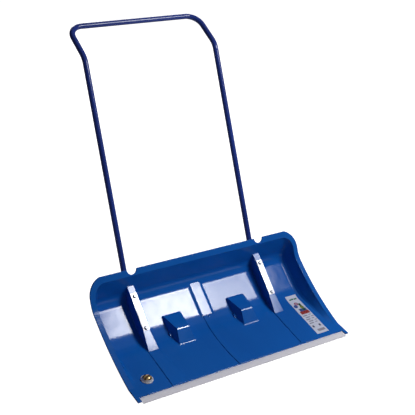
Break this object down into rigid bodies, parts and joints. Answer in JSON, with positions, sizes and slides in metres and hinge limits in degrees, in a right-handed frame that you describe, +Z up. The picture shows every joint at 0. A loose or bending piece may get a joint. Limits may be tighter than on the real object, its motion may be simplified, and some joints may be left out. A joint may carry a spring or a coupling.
{
  "type": "wheeled snow pusher",
  "caption": "Wide glossy plastic snow pusher blade with a metal scraper edge, running on small wheels under moulded housings and pushed by a bent steel tube bow handle.",
  "frame": {"origin": "centre of the bounding box's footprint, on the floor the scraper edge and wheels touch", "axes": "+Z up, +X across the blade to the right hand of someone facing the blade's hollow side, -Y forwards in the pushing direction, +Y towards the person pushing"},
  "size_m": [0.819, 0.831, 0.9053],
  "materials": {
    "blade": "glossy moulded polyethylene",
    "tube": "glossy powder coat",
    "plug": "matt",
    "strap": "bright zinc plate",
    "bolt": "bright zinc plate",
    "washer": "bright zinc plate",
    "nut": "bright zinc plate",
    "saddle": "matt moulded nylon",
    "wheel": "satin moulded tread",
    "axle": "plain ground steel",
    "strip": "satin sheet",
    "rivet": "plain",
    "label": "printed vinyl film",
    "badge": "metallised plastic dome"
  },
  "bodies": {
    "frame": {"blade_shell": "blade", "handle_tube": "tube", "tube_plug_left": "plug", "tube_plug_right": "plug", "strap_plate_left": "strap", "strap_plate_right": "strap", "bolts_left": "bolt", "bolts_right": "bolt", "washers_left": "washer", "washers_right": "washer", "lock_nuts_left": "nut", "lock_nuts_right": "nut", "saddles_left": "saddle", "saddles_right": "saddle", "axle_left": "axle", "axle_right": "axle", "scraper_strip": "strip", "scraper_rivets": "rivet", "label": "label", "badge": "badge"},
    "left_roller": {"wheel_left": "wheel"},
    "right_roller": {"wheel_right": "wheel"}
  },
  "joints": [
    {"name": "left_wheel_spin", "type": "hinge", "parent": "frame", "child": "left_roller", "pos_m": [-0.127, -0.18211, 0.02842], "axis": [1, 0, 0], "continuous": true},
    {"name": "right_wheel_spin", "type": "hinge", "parent": "frame", "child": "right_roller", "pos_m": [0.127, -0.18211, 0.02842], "axis": [1, 0, 0], "continuous": true}
  ]
}
